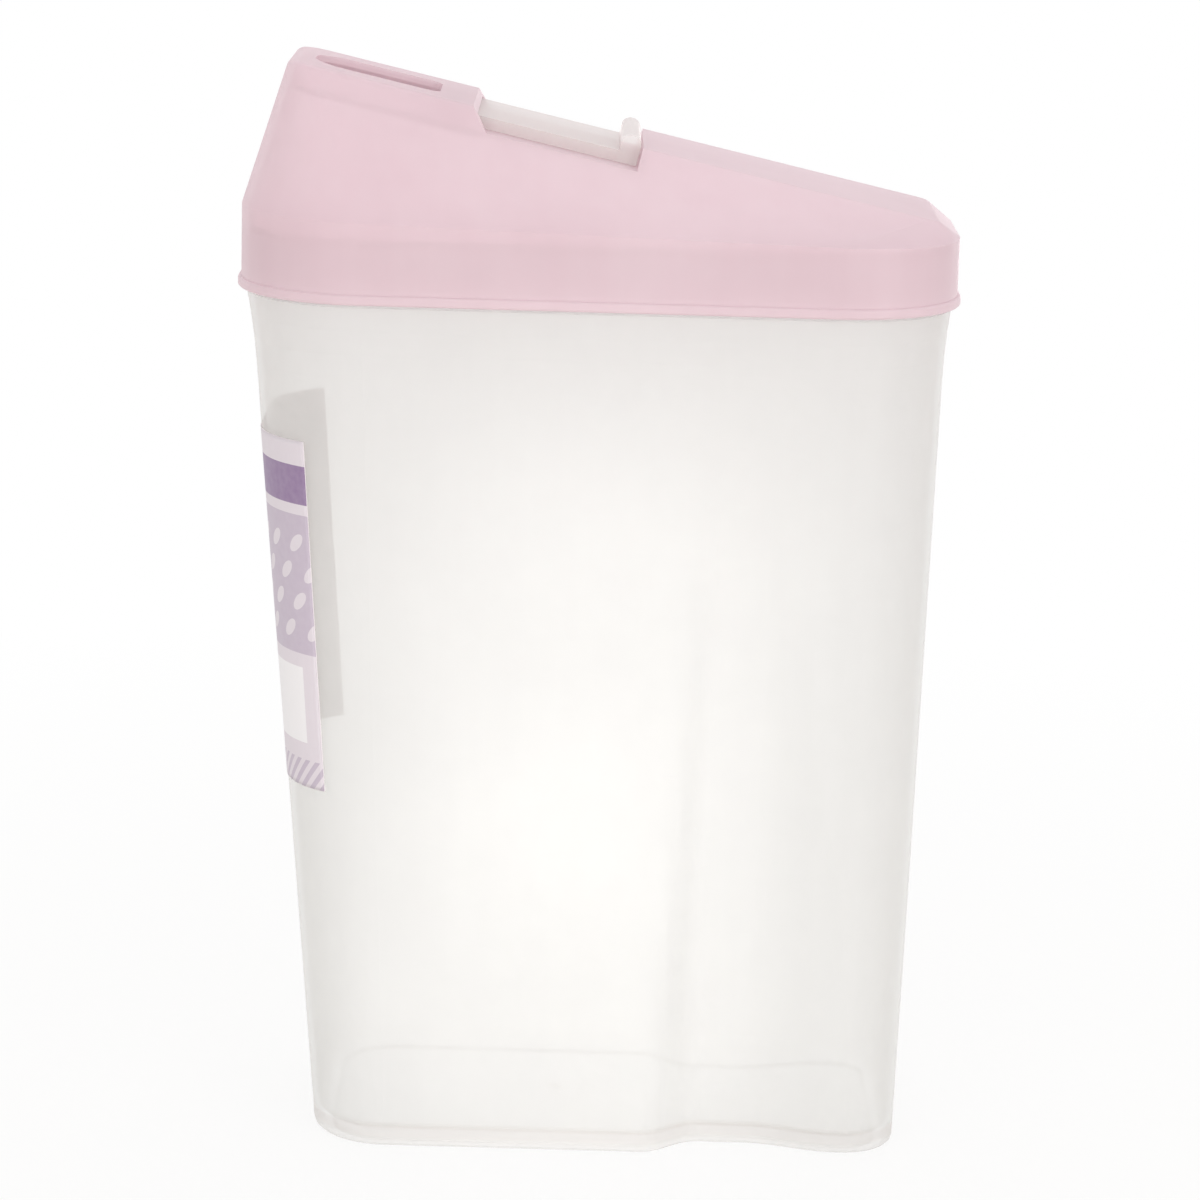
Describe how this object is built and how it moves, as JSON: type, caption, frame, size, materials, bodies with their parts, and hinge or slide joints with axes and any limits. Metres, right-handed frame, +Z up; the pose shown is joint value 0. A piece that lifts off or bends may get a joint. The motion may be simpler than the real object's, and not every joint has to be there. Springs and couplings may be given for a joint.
{
  "type": "cereal container",
  "caption": "Tall tapered translucent bucket with grip recesses, a lift-off sloping pour lid and a sliding cover that opens and closes the pour mouth.",
  "frame": {"origin": "on the surface the container stands on, under the middle of the lid's bead", "axes": "+X along the container away from the spout, +Y across its depth, +Z up"},
  "size_m": [0.17, 0.085, 0.2589],
  "materials": {
    "natural_plastic": "translucent natural polypropylene, satin",
    "pink_plastic": "pale pink translucent polypropylene, satin",
    "natural_cover": "translucent natural polypropylene, satin",
    "label_film": "printed self-adhesive film, matt"
  },
  "bodies": {
    "bucket": {"container_body": "natural_plastic", "label": "label_film"},
    "lid": {"lid": "pink_plastic"},
    "cover": {"slide_cover": "natural_cover"}
  },
  "joints": [
    {"name": "lid_lift", "type": "slide", "parent": "bucket", "child": "lid", "axis": [0, 0, 1], "range_m": [0, 0.06]},
    {"name": "cover_slide", "type": "slide", "parent": "lid", "child": "cover", "axis": [-0.9769, 0, 0.2135], "range_m": [0, 0.0336]}
  ]
}
